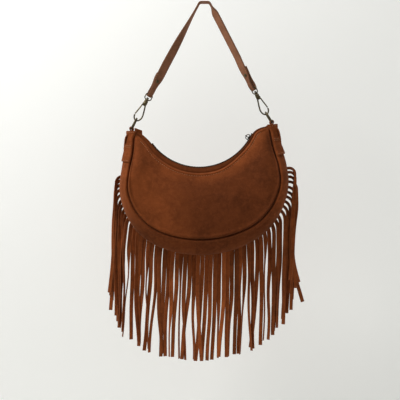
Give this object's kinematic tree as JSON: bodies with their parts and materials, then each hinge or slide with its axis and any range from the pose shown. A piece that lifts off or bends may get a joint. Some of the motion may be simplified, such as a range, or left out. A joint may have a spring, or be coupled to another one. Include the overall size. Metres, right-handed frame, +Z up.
{
  "type": "fringed suede bag",
  "caption": "Crescent shoulder bag of brown suede with a curved zip top, a clip-on strap and a long cut fringe sewn in behind its lower edge.",
  "frame": {"origin": "middle of the flat underside of the strap where it lies over its peg or shoulder", "axes": "+X to the right of the bag's front, +Y towards its back, +Z up along the hanging bag"},
  "size_m": [0.3286, 0.0657, 0.6308],
  "materials": {
    "suede": "napped brown suede, matt, brushed lighter along seams and worn edges",
    "strap_leather": "brown leather strap with a fine matt grain",
    "antique_brass": "darkened antique brass, satin",
    "zip_metal": "dark antique brass zip",
    "zip_tape": "dark brown woven zip tape"
  },
  "bodies": {
    "strap": {"strap": "strap_leather", "strap_rivet_left": "antique_brass", "strap_rivet_right": "antique_brass", "swivel_eye_left": "antique_brass", "swivel_eye_right": "antique_brass"},
    "hook_left": {"hook_left": "antique_brass", "gate_pin_left": "antique_brass"},
    "gate_left": {"gate_left": "antique_brass"},
    "hook_right": {"hook_right": "antique_brass", "gate_pin_right": "antique_brass"},
    "gate_right": {"gate_right": "antique_brass"},
    "bag": {"front_panel": "suede", "back_panel": "suede", "gusset": "suede", "fringe": "suede", "zip_facing_front": "suede", "zip_facing_back": "suede", "zip_tape_front": "zip_tape", "zip_tape_back": "zip_tape", "zip_teeth_front": "zip_metal", "zip_teeth_back": "zip_metal", "zip_stop_left": "zip_metal", "zip_stop_right": "zip_metal", "zip_end_tab": "suede", "ring_tab_left": "suede", "ring_tab_right": "suede"},
    "d_ring_left": {"d_ring_left": "antique_brass"},
    "d_ring_right": {"d_ring_right": "antique_brass"},
    "zip_slider": {"zip_slider": "zip_metal"},
    "zip_pull": {"zip_pull": "zip_metal"}
  },
  "joints": [
    {"name": "bag_swing", "type": "hinge", "parent": "strap", "child": "bag", "pos_m": [-0.00572, 0, -0.19955], "axis": [0.9989, 0, 0.0472], "range_deg": [-30, 30]},
    {"name": "hook_swivel_left", "type": "hinge", "parent": "strap", "child": "hook_left", "pos_m": [-0.10041, 0, -0.16862], "axis": [0.4756, 0, 0.8797], "range_deg": [-15, 15]},
    {"name": "hook_swivel_right", "type": "hinge", "parent": "strap", "child": "hook_right", "pos_m": [0.08981, 0, -0.15738], "axis": [-0.4555, 0, 0.8902], "range_deg": [-15, 15]},
    {"name": "gate_left_open", "type": "hinge", "parent": "hook_left", "child": "gate_left", "pos_m": [-0.1068, 0, -0.17539], "axis": [0, -1, 0], "range_deg": [0, 18], "stiffness_Nm_per_rad": 0.004, "springref_deg": -8.59},
    {"name": "gate_right_open", "type": "hinge", "parent": "hook_right", "child": "gate_right", "pos_m": [0.09604, 0, -0.1643], "axis": [0, 1, 0], "range_deg": [0, 18], "stiffness_Nm_per_rad": 0.004, "springref_deg": -8.59},
    {"name": "d_ring_tip_left", "type": "hinge", "parent": "bag", "child": "d_ring_left", "pos_m": [-0.12749, 0, -0.21992], "axis": [0, 1, 0], "range_deg": [-2, 2]},
    {"name": "d_ring_tip_right", "type": "hinge", "parent": "bag", "child": "d_ring_right", "pos_m": [0.11744, 0, -0.20834], "axis": [0, 1, 0], "range_deg": [-2, 2]},
    {"name": "zip_travel", "type": "hinge", "parent": "bag", "child": "zip_slider", "pos_m": [-0.0094, 0, -0.1852], "axis": [0, 1, 0], "range_deg": [0, 108.5]},
    {"name": "zip_pull_flop", "type": "hinge", "parent": "zip_slider", "child": "zip_pull", "pos_m": [0.07317, 0, -0.2325], "axis": [0.4971, 0, 0.8677], "range_deg": [0, 250]}
  ]
}
